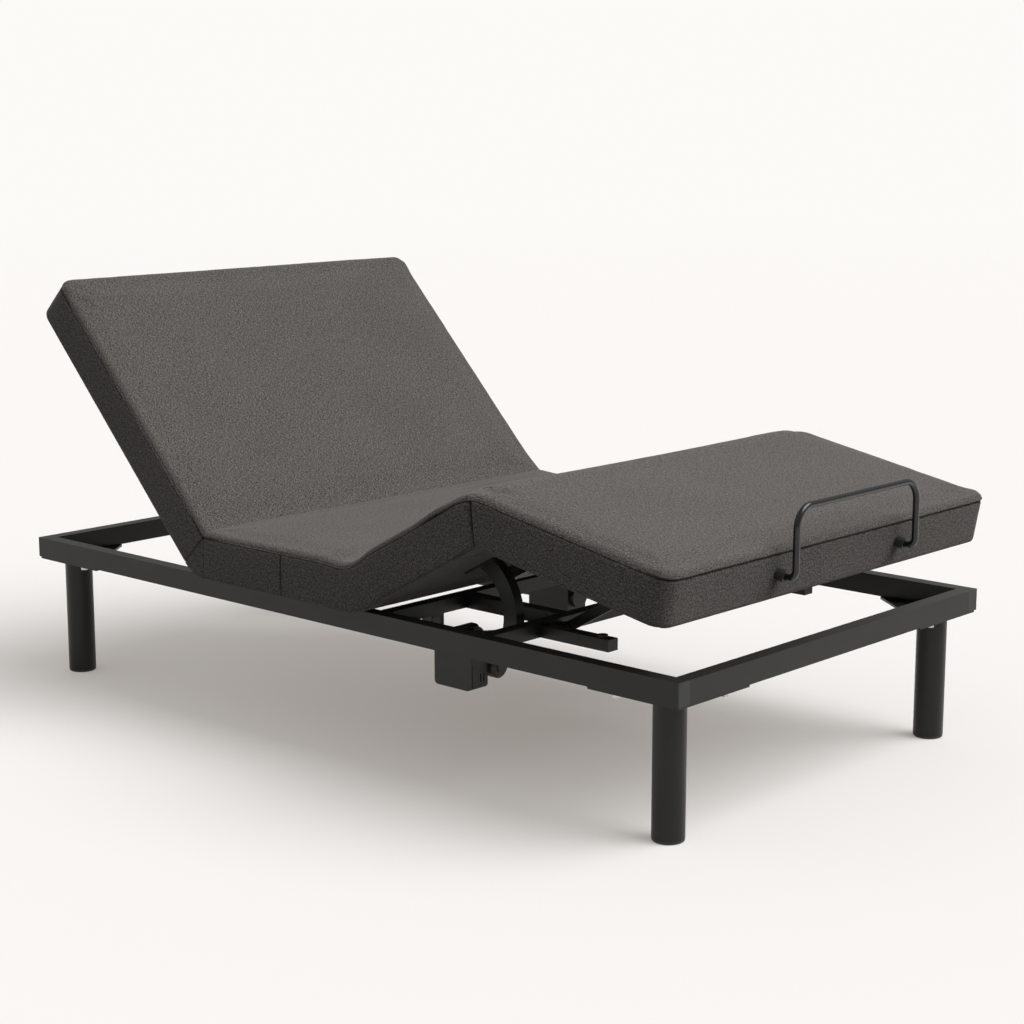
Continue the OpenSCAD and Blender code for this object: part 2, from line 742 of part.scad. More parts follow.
module thigh_lever() {
  color(steel) in_thigh() translate([0, -leg_drive_y, 0]) difference() {
    union() {
      intersection() {
        translate([lever_c[0], 0, lever_c[1]]) rotate([90, 0, 0]) rotate([0, 0, lever_a0])
          rotate_extrude(angle = lever_a1 + 20 - lever_a0, $fn = 128)
            translate([lever_r - lever_w / 2, 1 - lever_t / 2]) square([lever_w, lever_t - 2]);
        translate([0, -lever_t, lever_eye[1] - 60])
          cube([400, 2 * lever_t, thigh_low - lever_foot_t - lever_eye[1] + 60]);
      }
      translate([lever_eye[0], 0, lever_eye[1]]) bar_y(lever_t, lever_w + 2);
    }
    translate([lever_eye[0], 0, lever_eye[1]]) bar_y(2 * lever_t, pin_d + 2 * lever_float);
  }
}
module knee_hinge_plates() {
  floor_z = thigh_low + board_t - knee_local[1];
  color(steel) in_thigh() translate([knee_local[0], 0, knee_local[1]]) {
    ear_pair(-1, floor_z, false);
    hinge_pins();
  }
}
module pad_thigh() {
  low = thigh_low + board_t;
  color(fabric) in_thigh() difference() {
    foam([half_gap, half_gap, seat_top_gap],
         [thigh_end - half_gap, thigh_end - half_gap, thigh_end - half_gap],
         low, 0, 0, thigh_high, 0);
    hinge_room(low - 1, ear_boss + pocket);
    translate([knee_local[0], 0, knee_local[1]]) hinge_room(-20, 28 + board_t + pocket);
  }
}
// Foot section -------------------------------------------------------------------------------
foot_low = rest_gap - knee_pivot_up;
foot_high = deck_t - knee_pivot_up;
module foot_board() {
  color(board_black) in_foot() difference() {
    board(knee_low_gap, foot_l, foot_low, 1);
    hinge_room_low(foot_low - 1);
  }
}
module foot_subframe() {
  from = 40;
  to = foot_l - 77;
  long_y = 190;
  color(steel) in_foot() {
    both_sides() translate([from, long_y, foot_low - sub_h / 2]) tube_x(to - from, sub_w, sub_h);
    for (x = [from + sub_w, to - sub_w]) translate([x, 0, foot_low - sub_h / 2])
      tube_y(2 * long_y - sub_w, sub_w, sub_h);
  }
}
module foot_hinge_arms() {
  color(steel) in_foot() ear_pair(1, foot_low + board_t, true);
}
// Two cheeks and a pin that hold one end of a foot link; the cheeks stand up to z = top
module link_cheeks(top) {
  both_cheeks(link_y, link_gap, cheek_t) {
    circle(r = link_boss);
    translate([-link_boss, 0]) square([2 * link_boss, top]);
  }
  translate([0, link_y, 0]) bar_y(link_gap + 2 * cheek_t + 6, link_pin_d);
}
module link_brackets() {
  plate_l = 60;
  color(steel) in_foot() both_sides() {
    translate([link_foot_local[0], 0, link_foot_local[1]]) link_cheeks(link_down + rest_gap - 3);
    translate([link_foot_local[0] - plate_l / 2, link_y - 24, foot_low - 3]) cube([plate_l, 48, 3]);
  }
}
module pad_foot() {
  low = foot_low + board_t;
  color(fabric) in_foot() difference() {
    foam([half_gap, half_gap, half_gap], [foot_l, foot_l, foot_l],
         low, low + 1, low + 1, foot_high, 1);
    hinge_room(low - 1, 28 + board_t + pocket);
    for (s = [-1, 1]) translate([foot_l - 31, s * bar_w / 2, bar_foot_z]) rotate([0, 90, 0])
      cylinder(r = bar_d / 2 + 0.3, h = 32);
  }
}
// Retainer bar: feet along the section, uprights plumb in the stored pose, top bar level
module retainer_bar() {
  stub = bar_reach - bar_foot_r * tan((90 + foot_rest) / 2);
  bend = 90 + foot_rest;
  color(steel) in_foot() translate([foot_l, 0, bar_foot_z]) {
    translate([bar_reach, 0, 0]) rotate([0, -foot_rest, 0]) translate([0, 0, bar_rise])
      bar_y(bar_w - 2 * bar_r, bar_d);
    both_sides() translate([0, bar_w / 2, 0]) {
      translate([-30, 0, 0]) rotate([0, 90, 0]) cylinder(d = bar_d, h = 30 + stub);
      translate([stub, 0, bar_foot_r]) rotate([90, 0, 0]) rotate([0, 0, -90])
        rotate_extrude(angle = bend, $fn = 64) translate([bar_foot_r, 0]) circle(d = bar_d);
      translate([bar_reach, 0, 0]) rotate([0, -foot_rest, 0]) {
        up0 = bar_foot_r * tan(bend / 2);
        translate([0, 0, up0]) cylinder(d = bar_d, h = bar_rise - bar_r - up0);
        translate([0, -bar_r, bar_rise - bar_r]) rotate([90, 0, 90])
          rotate_extrude(angle = 90, $fn = 64) translate([bar_r, 0]) circle(d = bar_d);
      }
    }
  }
}
module retainer_collars() {
  collar_l = 18;
  color(plastic) in_foot() for (s = [-1, 1])
    translate([foot_l + 0.3, s * bar_w / 2, bar_foot_z]) rotate([0, 90, 0]) difference() {
      cylinder(d = bar_d + 10, h = collar_l);
      translate([0, 0, -1]) cylinder(r = bar_d / 2 + fit, h = collar_l + 2);
    }
}
// Leg drive ----------------------------------------------------------------------------------
module leg_drive_clevis() {
  gap = 26;
  color(steel) translate([x0 + leg_rear[0], -leg_drive_y, leg_rear[1]]) {
    both_cheeks(0, gap, cheek_t) {
      circle(r = 13);
      translate([-13, 0]) square([26, cross_z - leg_rear[1]]);
    }
    translate([-14, -gap / 2, cross_z - leg_rear[1] - 4]) cube([28, gap, 4]);
    bar_y(gap + 2 * cheek_t + 6, pin_d);
  }
}
// The gear case hangs below the spindle and stands level in the stored pose
// Block of the gear case with round edges in side view, from a low face to the case's top
module leg_case_block(l, near, far, low) {
  h = leg_case_low + leg_case_h - low;
  translate([leg_case_x, far, low]) rotate([90, 0, 0]) linear_extrude(far - near)
    translate([leg_case_r, leg_case_r]) offset(r = leg_case_r)
      square([l - 2 * leg_case_r, h - 2 * leg_case_r]);
}
// Gear case with a split line round its outer shell and two vents beside the motor
module leg_drive_housing() {
  near = -leg_case_w / 2;
  end = leg_case_x + leg_case_l;
  color(plastic) in_leg_drive() difference() {
    union() {
      bar_y(24, 26);
      translate([0, -12, -13]) cube([leg_case_x + 6, 24, 26]);
      rotate([0, leg_a, 0]) {
        leg_case_block(leg_case_l, near, leg_case_w / 2, leg_case_low);
        leg_case_block(leg_gear_l, near, leg_motor_y + leg_motor_d / 2,
                       leg_motor_z - leg_motor_d / 2);
      }
    }
    bar_y(30, pin_d + 2 * fit);
    translate([leg_case_x + 8, 0, 0]) rotate([0, 90, 0])
      cylinder(d = spindle_d, h = 2 * leg_case_l, $fn = 64);
    rotate([0, leg_a, 0]) {
      translate([end - groove_w, near + leg_shell_t, leg_case_low - 1])
        cube([groove_w + 1, groove_w, leg_case_h / 2]);
      for (k = [0, 1])
        translate([end - case_vent_w, case_vent_w + 3 * case_vent_w * k, leg_case_low + 14])
          cube([case_vent_w + 1, case_vent_w, case_vent_h]);
    }
  }
}
module leg_drive_motor() {
  l = leg_case_l - leg_gear_l + leg_motor_past;
  color(plastic) in_leg_drive() rotate([0, leg_a, 0])
    translate([leg_case_x + leg_gear_l, leg_motor_y, leg_motor_z]) rotate([0, 90, 0]) {
      cylinder(d = leg_motor_d, h = l, $fn = 64);
      translate([0, 0, l]) cylinder(d1 = leg_motor_d, d2 = leg_motor_d - 10, h = 5, $fn = 64);
      translate([0, 0, l + 5]) cylinder(d = leg_motor_d / 2, h = 3);
    }
}
module leg_drive_tube() {
  from = leg_case_x + 8;
  color(steel) in_leg_drive() translate([from, 0, 0]) rotate([0, 90, 0]) difference() {
    cylinder(d = spindle_d, h = leg_tube_end - from, $fn = 64);
    translate([0, 0, 4]) cylinder(r = rod_d / 2 + fit, h = leg_tube_end);
  }
}
module leg_drive_rod() {
  color(zinc) in_leg_drive() translate([leg_rod_in, 0, 0]) rotate([0, 90, 0])
    cylinder(d = rod_d, h = leg_l - leg_rod_in - leg_fork_l);
}
module leg_drive_fork() {
  gap = lever_t + 2;
  color(zinc) in_leg_drive() translate([leg_l, 0, 0]) {
    bar_y(gap + 2 * cheek_t + 6, pin_d);
    both_cheeks(0, gap, cheek_t) {
      circle(r = 12);
      translate([-leg_fork_l, -12]) square([leg_fork_l, 24]);
    }
    translate([-leg_fork_l, -gap / 2, -12]) cube([fork_back_t, gap, 24]);
  }
}
// Foot links ---------------------------------------------------------------------------------
module link_clevises() {
  color(steel) both_sides() {
    translate([x0 + link_base[0], 0, link_base[1]]) {
      link_cheeks(8);
      both_cheeks(link_y, link_gap, cheek_t)
        translate([-link_stand, -link_boss]) square([link_stand, link_boss + 8]);
    }
  }
}
module foot_links() {
  color(steel) both_sides() translate([x0 + link_base[0], 0, link_base[1]])
    rotate([0, -link_a, 0]) plate_y(link_y - link_t / 2, link_t) difference() {
      union() {
        circle(d = link_h);
        translate([link_l, 0]) circle(d = link_h);
        translate([0, -link_h / 2 + 3]) square([link_l, link_h - 6]);
      }
      circle(r = link_pin_d / 2 + fit);
      translate([link_l, 0]) circle(r = link_pin_d / 2 + link_float);
    }
}

rail_near();
rail_far();
rail_head();
rail_foot();
rail_end_caps();
corner_plates();
frame_bolts();
leg_head_near();
leg_head_far();
leg_foot_near();
leg_foot_far();
leg_glides();
leg_studs();
cross_tube_head();
cross_tube_mid();
cross_tube_foot();
frame_stretchers();
support_arms();
support_buffers();
seat_board();
pad_seat();
pad_lap();
head_hinge_plates();
seat_hinge_plates();
control_box();
control_box_lid();
control_box_hanger();
head_drive_hanger();
head_drive_housing();
head_drive_motor();
head_drive_tube();
leg_drive_clevis();
link_clevises();
head_board();
head_subframe();
head_hinge_arms();
head_lever();
head_bolts();
pad_head();
head_drive_rod();
head_drive_fork();
thigh_board();
thigh_subframe();
thigh_hinge_arms();
thigh_lever();
knee_hinge_plates();
pad_thigh();
foot_board();
foot_subframe();
foot_hinge_arms();
link_brackets();
pad_foot();
retainer_bar();
retainer_collars();
leg_drive_housing();
leg_drive_motor();
leg_drive_tube();
leg_drive_rod();
leg_drive_fork();
foot_links();
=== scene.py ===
import math
import bpy
import bmesh
import numpy as np
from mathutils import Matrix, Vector, noise


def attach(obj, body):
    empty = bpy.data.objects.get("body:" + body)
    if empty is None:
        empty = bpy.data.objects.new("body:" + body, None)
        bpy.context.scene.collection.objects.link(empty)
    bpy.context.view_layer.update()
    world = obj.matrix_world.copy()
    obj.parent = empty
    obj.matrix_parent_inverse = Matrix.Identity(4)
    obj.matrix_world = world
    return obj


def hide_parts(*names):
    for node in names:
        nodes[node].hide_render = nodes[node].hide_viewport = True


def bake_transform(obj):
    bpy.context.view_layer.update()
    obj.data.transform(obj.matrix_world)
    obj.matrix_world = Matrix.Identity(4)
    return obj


# The adjustable bed base: a steel frame on four legs with two spindle drives, and a deck of four
# upholstered sections that bend at the head crease, the seat and the knee.
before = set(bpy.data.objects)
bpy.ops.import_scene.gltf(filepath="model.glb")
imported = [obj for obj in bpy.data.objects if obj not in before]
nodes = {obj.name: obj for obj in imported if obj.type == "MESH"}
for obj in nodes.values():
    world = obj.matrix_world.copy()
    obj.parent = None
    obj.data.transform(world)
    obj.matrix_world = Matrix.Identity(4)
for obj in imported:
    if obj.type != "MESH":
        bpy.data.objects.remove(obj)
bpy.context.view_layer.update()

# --- Steel frame -------------------------------------------------------------------------------
# Rails, corner plates, cross tubes and arms: welded square tube, powder-coated satin black. The
# coat has a fine orange peel, slow drifts in gloss, pale specks, and a paler colour on what faces
# up.
class Wire:
    """One socket of a material. Its operators add Math nodes, and node() adds any other node."""

    def __init__(self, tree, socket=None):
        self.tree, self.socket = tree, socket

    def node(self, kind, settings, inputs, output=0):
        made = self.tree.nodes.new(kind)
        stops = settings.pop("stops", None)
        for name, value in settings.items():
            setattr(made, name, value)
        if stops:
            ramp = made.color_ramp
            while len(ramp.elements) < len(stops):
                ramp.elements.new(1.0)
            for stop, (place, grey) in zip(ramp.elements, stops):
                stop.position, stop.color = place, (grey, grey, grey, 1)
        for name, value in inputs.items():
            if isinstance(value, Wire):
                self.tree.links.new(value.socket, made.inputs[name])
            else:
                made.inputs[name].default_value = value
        return Wire(self.tree, made.outputs[output])

    def math(self, operation, a, b=0.0):
        return self.node("ShaderNodeMath", {"operation": operation}, {0: a, 1: b})

    def __add__(self, other): return self.math("ADD", self, other)
    def __radd__(self, other): return self.math("ADD", other, self)
    def __sub__(self, other): return self.math("SUBTRACT", self, other)
    def __rsub__(self, other): return self.math("SUBTRACT", other, self)
    def __mul__(self, other): return self.math("MULTIPLY", self, other)
    def __rmul__(self, other): return self.math("MULTIPLY", other, self)

    def stretched(self, x, y, z=1.0):
        return self.node("ShaderNodeVectorMath", {"operation": "MULTIPLY"}, {0: self, 1: (x, y, z)})

    def noise(self, scale, detail=2.0, rough=0.5):
        return self.node("ShaderNodeTexNoise", {"noise_dimensions": "3D"},
                         {"Vector": self, "Scale": scale, "Detail": detail, "Roughness": rough})

    def ramp(self, *stops):
        return self.node("ShaderNodeValToRGB", {"stops": stops}, {"Fac": self})

    def bump(self, height, strength, distance):
        return self.node("ShaderNodeBump", {}, {"Height": height, "Strength": strength,
                                                "Distance": distance})

    def between(self, a, b):
        """The colour between a and b that this value picks; 6, 7 and 2 are Mix's colour sockets."""
        a, b = [colour if isinstance(colour, Wire) else (*colour, 1) for colour in (a, b)]
        return self.node("ShaderNodeMix", {"data_type": "RGBA"}, {0: self, 6: a, 7: b}, output=2)


def finish_of(name, place, constants, varying):
    """A material: place is the coordinates it is drawn in, and varying(wire) gives what changes."""
    made = bpy.data.materials.new(name)
    made.use_nodes = True
    tree = made.node_tree
    shader = tree.nodes["Principled BSDF"]
    for socket, value in constants.items():
        shader.inputs[socket].default_value = value
    start = Wire(tree).node("ShaderNodeTexCoord", {}, {}, output=place)
    for socket, value in varying(start).items():
        tree.links.new(value.socket, shader.inputs[socket])
    return made


def give(material, *names):
    """Puts a material on CAD nodes."""
    for name in names:
        piece = nodes[name]
        if not piece.data.materials:
            piece.data.materials.append(material)
        for slot in piece.material_slots:
            slot.material = material


def powder_coat(at):
    peel = at.noise(900.0, 2.0, 0.55)
    drift = at.noise(6.0, 3.0, 0.5)
    specks = at.noise(260.0, 2.0, 0.6).ramp((0.0, 0.0), (0.66, 0.0), (0.74, 1.0))
    up = at.node("ShaderNodeNewGeometry", {}, {}, output="Normal")
    up = up.node("ShaderNodeSeparateXYZ", {}, {"Vector": up}, output="Z")
    # Paler where the surface faces up, and in pale specks.
    paler_up_and_specks = at.math("MAXIMUM", up, 0.0) * (drift * 0.6 + 0.2) + specks * 0.12
    coat = paler_up_and_specks.between((0.0085, 0.0083, 0.0080), (0.044, 0.042, 0.040))
    return {
        "Base Color": coat,
        "Roughness": drift * 0.16 + specks * 0.1 + 0.31,
        "Normal": at.bump(peel, 0.12, 0.0004),
    }


steel_finish = finish_of("steel_powder_coat", "Object", {"Specular IOR Level": 0.36}, powder_coat)
give(steel_finish, "rail_near", "rail_far", "rail_head", "rail_foot", "corner_plates",
     "cross_tube_head", "cross_tube_mid", "cross_tube_foot", "frame_stretchers", "support_arms",
     "control_box_hanger", "head_drive_hanger", "leg_drive_clevis", "link_clevises",
     "leg_head_near", "leg_head_far", "leg_foot_near", "leg_foot_far",
     "head_subframe", "thigh_subframe", "foot_subframe", "link_brackets", "thigh_lever",
     "foot_links", "head_lever")

# --- Hinges ------------------------------------------------------------------------------------
# Laser-cut ears and pins that carry the sections: black passivated steel, drawn smoother than the
# frame's coat, with bright rubbed rings where the ears turn on each other.
def passivated(at):
    grain = at.stretched(1.0, 14.0, 1.0).noise(240.0, 3.0, 0.6)
    rubbed = at.noise(38.0, 3.0, 0.6).ramp((0.0, 0.0), (0.58, 0.0), (0.8, 1.0))
    return {
        "Base Color": (grain * 0.4 + rubbed * 0.5).between((0.03, 0.03, 0.033),
                                                           (0.12, 0.115, 0.11)),
        "Roughness": grain * 0.2 + 0.3,
        "Metallic": rubbed * 0.4 + 0.35,
        "Normal": at.bump(grain, 0.1, 0.0003),
    }


give(finish_of("hinge_passivated", "Object", {}, passivated),
     "head_hinge_plates", "seat_hinge_plates", "head_hinge_arms", "thigh_hinge_arms",
     "knee_hinge_plates", "foot_hinge_arms")

# --- Fasteners and push rods -------------------------------------------------------------------
# Bolts, leg studs, push rods and forks: zinc-plated steel with turning marks and small blotches.
def zinc_plate(at):
    turned = at.stretched(22.0, 1.0, 1.0).noise(60.0, 3.0, 0.6)
    blotch = at.noise(26.0, 3.0, 0.55)
    return {
        "Base Color": blotch.between((0.46, 0.47, 0.49), (0.66, 0.66, 0.65)),
        "Roughness": turned * 0.24 + blotch * 0.14 + 0.14,
        "Normal": at.bump(turned, 0.12, 0.0002),
    }


give(finish_of("zinc_plate", "Object", {"Metallic": 1.0}, zinc_plate),
     "frame_bolts", "leg_studs", "head_bolts", "head_drive_rod", "head_drive_fork",
     "leg_drive_rod", "leg_drive_fork")

# --- Caps, glides and buffers ------------------------------------------------------------------
# Rail end caps, leg glides, buffers and the bar's sleeves: black polypropylene with a spark-eroded
# grain, a touch lighter and duller than the steel beside it.
def moulded(fine, dark, light, gloss):
    def varying(at):
        grain = at.noise(fine, 3.0, 0.65)
        flow = at.stretched(1.0, 1.0, 3.0).noise(9.0, 2.0, 0.5)
        return {
            "Base Color": (grain * 0.5 + flow * 0.5).between(dark, light),
            "Roughness": grain * 0.18 + flow * 0.1 + gloss,
            "Normal": at.bump(grain, 0.22, 0.0003),
        }
    return varying


give(finish_of("cap_plastic", "Object", {},
               moulded(1300.0, (0.014, 0.014, 0.015), (0.04, 0.04, 0.041), 0.38)),
     "rail_end_caps", "leg_glides", "support_buffers", "retainer_collars")

# --- Drives and control box --------------------------------------------------------------------
# Two-part gear cases, motor housings, spindle tubes and the control box: black glass-filled nylon.
give(finish_of("drive_plastic", "Object", {},
               moulded(700.0, (0.007, 0.007, 0.007), (0.022, 0.0215, 0.021), 0.34)),
     "control_box", "head_drive_housing", "head_drive_tube", "leg_drive_housing", "leg_drive_tube")
give(finish_of("drive_plastic_grey", "Object", {},
               moulded(700.0, (0.02, 0.02, 0.02), (0.05, 0.049, 0.048), 0.36)),
     "control_box_lid", "head_drive_motor", "leg_drive_motor")

# --- Mattress retainer bar ---------------------------------------------------------------------
# One bent round bar at the foot end, black gloss enamel over steel, with a slow ripple from the
# dip and fine hairline scuffs where bedding rubs it.
def enamel(at):
    ripple = at.noise(34.0, 2.0, 0.5)
    scuff = at.stretched(1.0, 1.0, 7.0).noise(420.0, 3.0, 0.7)
    scuff = scuff.ramp((0.0, 0.0), (0.62, 0.0), (0.78, 1.0))
    return {
        "Base Color": scuff.between((0.006, 0.006, 0.006), (0.035, 0.034, 0.033)),
        "Roughness": ripple * 0.1 + scuff * 0.2 + 0.2,
        "Normal": at.bump(ripple, 0.06, 0.0006),
    }


give(finish_of("bar_enamel", "Object",
               {"Coat Weight": 0.25, "Coat Roughness": 0.1, "Specular IOR Level": 0.4}, enamel),
     "retainer_bar")

# --- Section boards ----------------------------------------------------------------------------
# Black-faced fibreboard panels inside the covers, with long faint fibres in the facing and a
# fine pressed grain.
def faced_board(at):
    pressed = at.noise(700.0, 2.0, 0.6)
    fibre = at.stretched(1.0, 5.0, 5.0).noise(120.0, 4.0, 0.6)
    return {
        "Base Color": fibre.between((0.013, 0.0125, 0.012), (0.045, 0.043, 0.04)),
        "Roughness": fibre * 0.2 + 0.6,
        "Normal": at.bump(pressed * 0.5 + fibre, 0.2, 0.0003),
    }


give(finish_of("faced_board", "Object", {}, faced_board),
     "head_board", "seat_board", "thigh_board", "foot_board")

# --- Upholstery cloth --------------------------------------------------------------------------
# A closely woven charcoal melange: dark warp and weft yarns with paler slubs, drawn in the flat
# cloth's own measure so that the weave follows every panel and bend.
def melange(at):
    warp = at.stretched(200.0, 600.0).noise(1.0, 2.0, 0.7)
    weft = at.stretched(600.0, 200.0).noise(1.0, 2.0, 0.7)
    slub = at.stretched(60.0, 300.0).noise(1.0, 2.0, 0.6)
    cloud = at.noise(5.0, 3.0, 0.55)
    tone = (warp + weft) * 1.7 + slub * 0.5 + cloud * 0.12 - 1.52
    yarn = tone.ramp((0.0, 0.0), (0.22, 0.08), (0.5, 0.42), (0.8, 1.0))
    # Painted shade: the seam attribute darkens the cloth almost to black along the welted seam's
    # groove.
    painted_seam_shade = at.node("ShaderNodeAttribute", {"attribute_name": "seam"}, {}, output="Fac")
    cloth = yarn.between((0.0160, 0.0152, 0.0143), (0.182, 0.169, 0.157))
    return {
        "Base Color": painted_seam_shade.between(cloth, (0.008, 0.0075, 0.007)),
        "Roughness": 0.98 - yarn * 0.12,
        "Normal": at.bump(warp + weft, 0.5, 0.0006),
    }


cloth_finish = finish_of("charcoal_melange", "UV",
                         {"Specular IOR Level": 0.25, "Sheen Weight": 0.22, "Sheen Roughness": 0.45,
                          "Sheen Tint": (0.75, 0.73, 0.71, 1)}, melange)

# --- Deck covers -------------------------------------------------------------------------------
# Each section is a board with a 90 mm slab of foam in a fitted cover. The cover has a top panel,
# a boxing that turns under the board, and a welted seam between them. It is drawn flat, filled by
# a cloth simulation, and then bent to the stored pose about its hinge.
x0 = -0.018274
deck_low, deck_top = 0.311, 0.415
half_width = 0.522
seam_height = 0.0885
boxing_lines = (0, 0.006, 0.014, 0.024, 0.035, 0.046, 0.057, 0.067, 0.076, 0.083, 0.0865, 0.0885,
                0.0905, 0.0935, 0.0975, 0.1015, 0.104)
grid_step = 0.009
corner_radius, top_radius, low_radius = 0.034, 0.013, 0.006
head_pivot = (-0.300, 0.398)
seat_pivot = (0.140, 0.356)
knee_pivot = (0.496, 0.316)
head_angle = math.radians(46.5)
thigh_angle = math.radians(28.5)
knee_angle = math.radians(39.25)


def levels(low, high, step, *extra):
    """Grid lines from low to high, about one step apart, with extra ones where a seam is."""
    count = max(2, round((high - low) / step))
    lines = list(np.linspace(low, high, count + 1))
    lines = [v for v in lines if v in (low, high)
             or min([abs(v - line) for line in extra] or [1]) > step * 0.3]
    return np.array(sorted(lines + list(extra)))


def flat_cover(name, start, end, round_start, round_end, butt_start, butt_end, seams=()):
    """A closed box of cloth from start to end along the bed, with its edges and corners rounded."""
    low, high = deck_low + 0.0006, deck_top
    near_seam = [at + off for at in seams for off in (-0.0045, -0.0018, 0.0, 0.0018, 0.0045)]
    xs = levels(start, end, grid_step, start + 0.003, end - 0.003, *near_seam)
    ys = levels(-half_width, half_width, grid_step)
    zs = low + np.array(boxing_lines) / boxing_lines[-1] * (high - low)
    form = bmesh.new()
    uv = form.loops.layers.uv.new("cloth")
    seen = {}

    def vert(i, j, k):
        key = (i, j, k)
        if key not in seen:
            seen[key] = form.verts.new((xs[i], ys[j], zs[k]))
        return seen[key]

    last = (len(xs) - 1, len(ys) - 1, len(zs) - 1)
    for axis in range(3):
        u, v = [a for a in range(3) if a != axis]
        for side in (0, last[axis]):
            for a in range(last[u]):
                for b in range(last[v]):
                    ring = []
                    for da, db in ((0, 0), (1, 0), (1, 1), (0, 1)):
                        index = [0, 0, 0]
                        index[axis], index[u], index[v] = side, a + da, b + db
                        ring.append(vert(*index))
                    if (side == 0) != (axis == 1):
                        ring.reverse()
                    face = form.faces.new(ring)
                    for loop in face.loops:
                        loop[uv].uv = (loop.vert.co[u], loop.vert.co[v])
    form.normal_update()
    mesh = bpy.data.meshes.new(name)
    form.to_mesh(mesh)
    form.free()
    p = np.empty(len(mesh.vertices) * 3)
    mesh.vertices.foreach_get("co", p)
    p = p.reshape(-1, 3)
    middle = (start + end) / 2
    roundings = [
        (1, 2, 0.0, (low + high) / 2, half_width, (high - low) / 2, "side"),
        (0, 2, middle, (low + high) / 2, (end - start) / 2, (high - low) / 2, "end"),
        (0, 1, middle, 0.0, (end - start) / 2, half_width, "plan"),
    ]
    for a, b, ca, cb, ha, hb, kind in roundings:
        da, db = p[:, a] - ca, p[:, b] - cb
        butt = np.where(p[:, 0] < middle, butt_start, butt_end)
        free = (da < 0) & round_start | (da > 0) & round_end
        radius = np.where(db > 0, top_radius, low_radius)
        if kind == "plan":
            radius = np.where(free, corner_radius, butt)
        elif kind == "end":
            radius = np.where(free, radius, butt)
        ia, ib = np.abs(da) - (ha - radius), np.abs(db) - (hb - radius)
        corner = (ia > 0) & (ib > 0)
        scale = np.where(corner, np.maximum(ia, ib) / np.maximum(np.hypot(ia, ib), 1e-9), 1)
        p[corner, a] = ca + (np.sign(da) * (ha - radius + ia * scale))[corner]
        p[corner, b] = cb + (np.sign(db) * (hb - radius + ib * scale))[corner]
    mesh.vertices.foreach_set("co", p.ravel())
    piece = bpy.data.objects.new(name, mesh)
    bpy.context.collection.objects.link(piece)
    return piece


def points_of(piece):
    p = np.empty(len(piece.data.vertices) * 3)
    piece.data.vertices.foreach_get("co", p)
    return p.reshape(-1, 3)


def filled(piece):
    """Fills the cover by a cloth simulation that is held at the seam and the underside."""
    cap_top, cap_side, still_end, last_frame = 0.0045, 0.0025, 0.075, 16
    flat = points_of(piece)
    height = flat[:, 2] - deck_low
    ends = np.minimum(flat[:, 0] - flat[:, 0].min(), flat[:, 0].max() - flat[:, 0])
    at_seam = np.abs(height - seam_height) < 0.0012
    outside = (np.abs(flat[:, 1]) >= half_width - 0.06) | (ends < 0.001)
    held = at_seam & outside | (height < 0.007)
    group = piece.vertex_groups.new(name="held")
    group.add([int(i) for i in np.nonzero(held)[0]], 1.0, "REPLACE")
    cloth = piece.modifiers.new("filling", "CLOTH")
    setting = cloth.settings
    setting.quality = 4
    setting.mass = 0.3
    setting.tension_stiffness = 12
    setting.compression_stiffness = 12
    setting.shear_stiffness = 6
    setting.bending_stiffness = 0.6
    setting.vertex_group_mass = "held"
    setting.use_pressure = True
    setting.uniform_pressure_force = 4
    setting.effector_weights.gravity = 0
    cloth.point_cache.frame_start, cloth.point_cache.frame_end = 1, last_frame
    for step in range(1, last_frame + 1):
        bpy.context.scene.frame_set(step)
    shown = piece.evaluated_get(bpy.context.evaluated_depsgraph_get())
    full = np.empty(len(flat) * 3)
    shown.data.vertices.foreach_get("co", full)
    piece.modifiers.remove(cloth)
    piece.vertex_groups.clear()
    bpy.context.scene.frame_set(1)
    move = full.reshape(-1, 3) - flat
    size = np.linalg.norm(move, axis=1)
    cap = np.where(height > seam_height, cap_top, cap_side)
    move *= (cap * np.tanh(size / cap) / np.maximum(size, 1e-9))[:, None]
    fade = np.clip(ends / still_end, 0, 1)
    move *= (fade * fade * (3 - 2 * fade))[:, None]
    piece.data.vertices.foreach_set("co", (flat + move).ravel())


